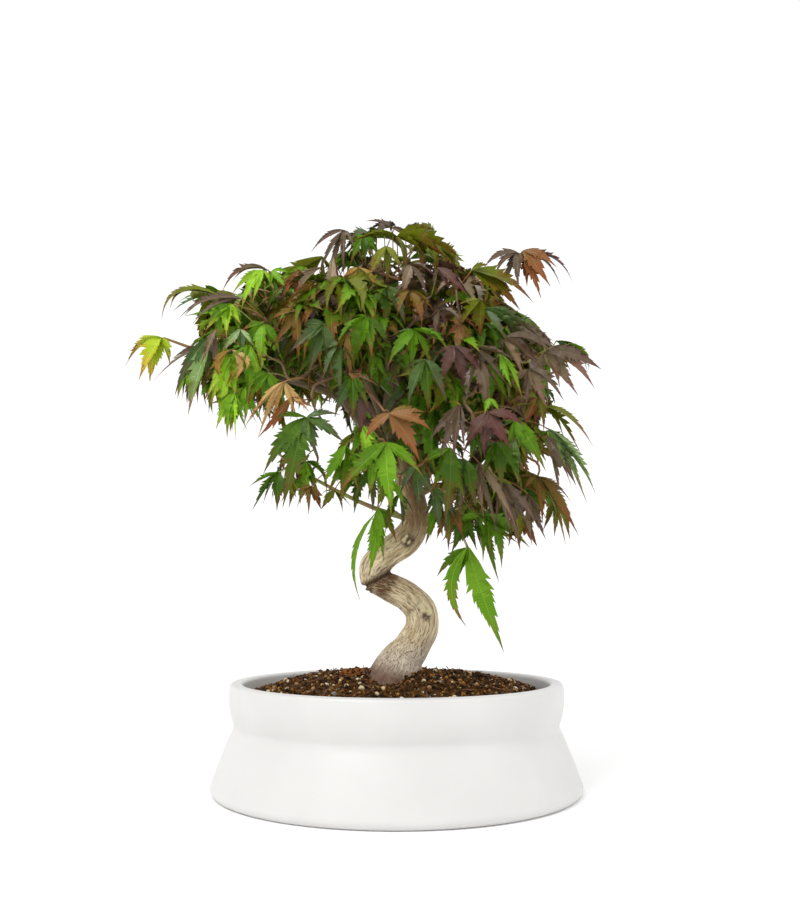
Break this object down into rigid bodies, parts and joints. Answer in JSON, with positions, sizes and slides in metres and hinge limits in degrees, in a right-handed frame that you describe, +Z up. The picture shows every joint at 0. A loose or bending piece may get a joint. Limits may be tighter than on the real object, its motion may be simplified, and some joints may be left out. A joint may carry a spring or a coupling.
{
  "type": "bonsai japanese maple in a round pot",
  "caption": "Small trained tree with a twice-bent trunk and a spreading crown of pointed, lobed leaves, standing in a round waisted pot of soil.",
  "frame": {"origin": "centre of the flat underside of the pot", "axes": "+Z up the tree, -Y towards the viewer at the front, +X to the viewer's right"},
  "size_m": [0.3326, 0.249, 0.3992],
  "materials": {
    "pot": "satin off-white glaze",
    "soil": "dark crumbly compost with pale grit",
    "bark": "pale straw-brown bark with fine lengthwise streaks",
    "foliage": "thin leaves from green through bronze to purple-brown"
  },
  "bodies": {
    "root": {"pot": "pot", "soil": "soil", "trunk": "bark", "leader": "bark", "left_bough": "bark", "left_lower_bough": "bark", "right_bough": "bark", "right_lower_bough": "bark", "front_bough": "bark", "right_front_bough": "bark", "back_bough": "bark", "left_back_bough": "bark", "right_back_bough": "bark", "low_back_bough": "bark", "low_left_bough": "bark", "low_right_bough": "bark", "trunk_shoot": "bark", "left_tip_twig": "bark", "top_mass": "foliage", "left_upper_mass": "foliage", "left_lower_mass": "foliage", "right_upper_mass": "foliage", "right_shoulder_mass": "foliage", "right_lower_mass": "foliage", "low_right_mass": "foliage", "right_front_mass": "foliage", "centre_front_mass": "foliage", "low_centre_mass": "foliage", "low_left_mass": "foliage", "back_mass": "foliage", "left_back_mass": "foliage", "right_back_mass": "foliage", "low_back_mass": "foliage", "right_top_spray": "foliage", "left_tip_spray": "foliage", "hanging_spray": "foliage", "trunk_shoot_spray": "foliage"}
  },
  "joints": []
}
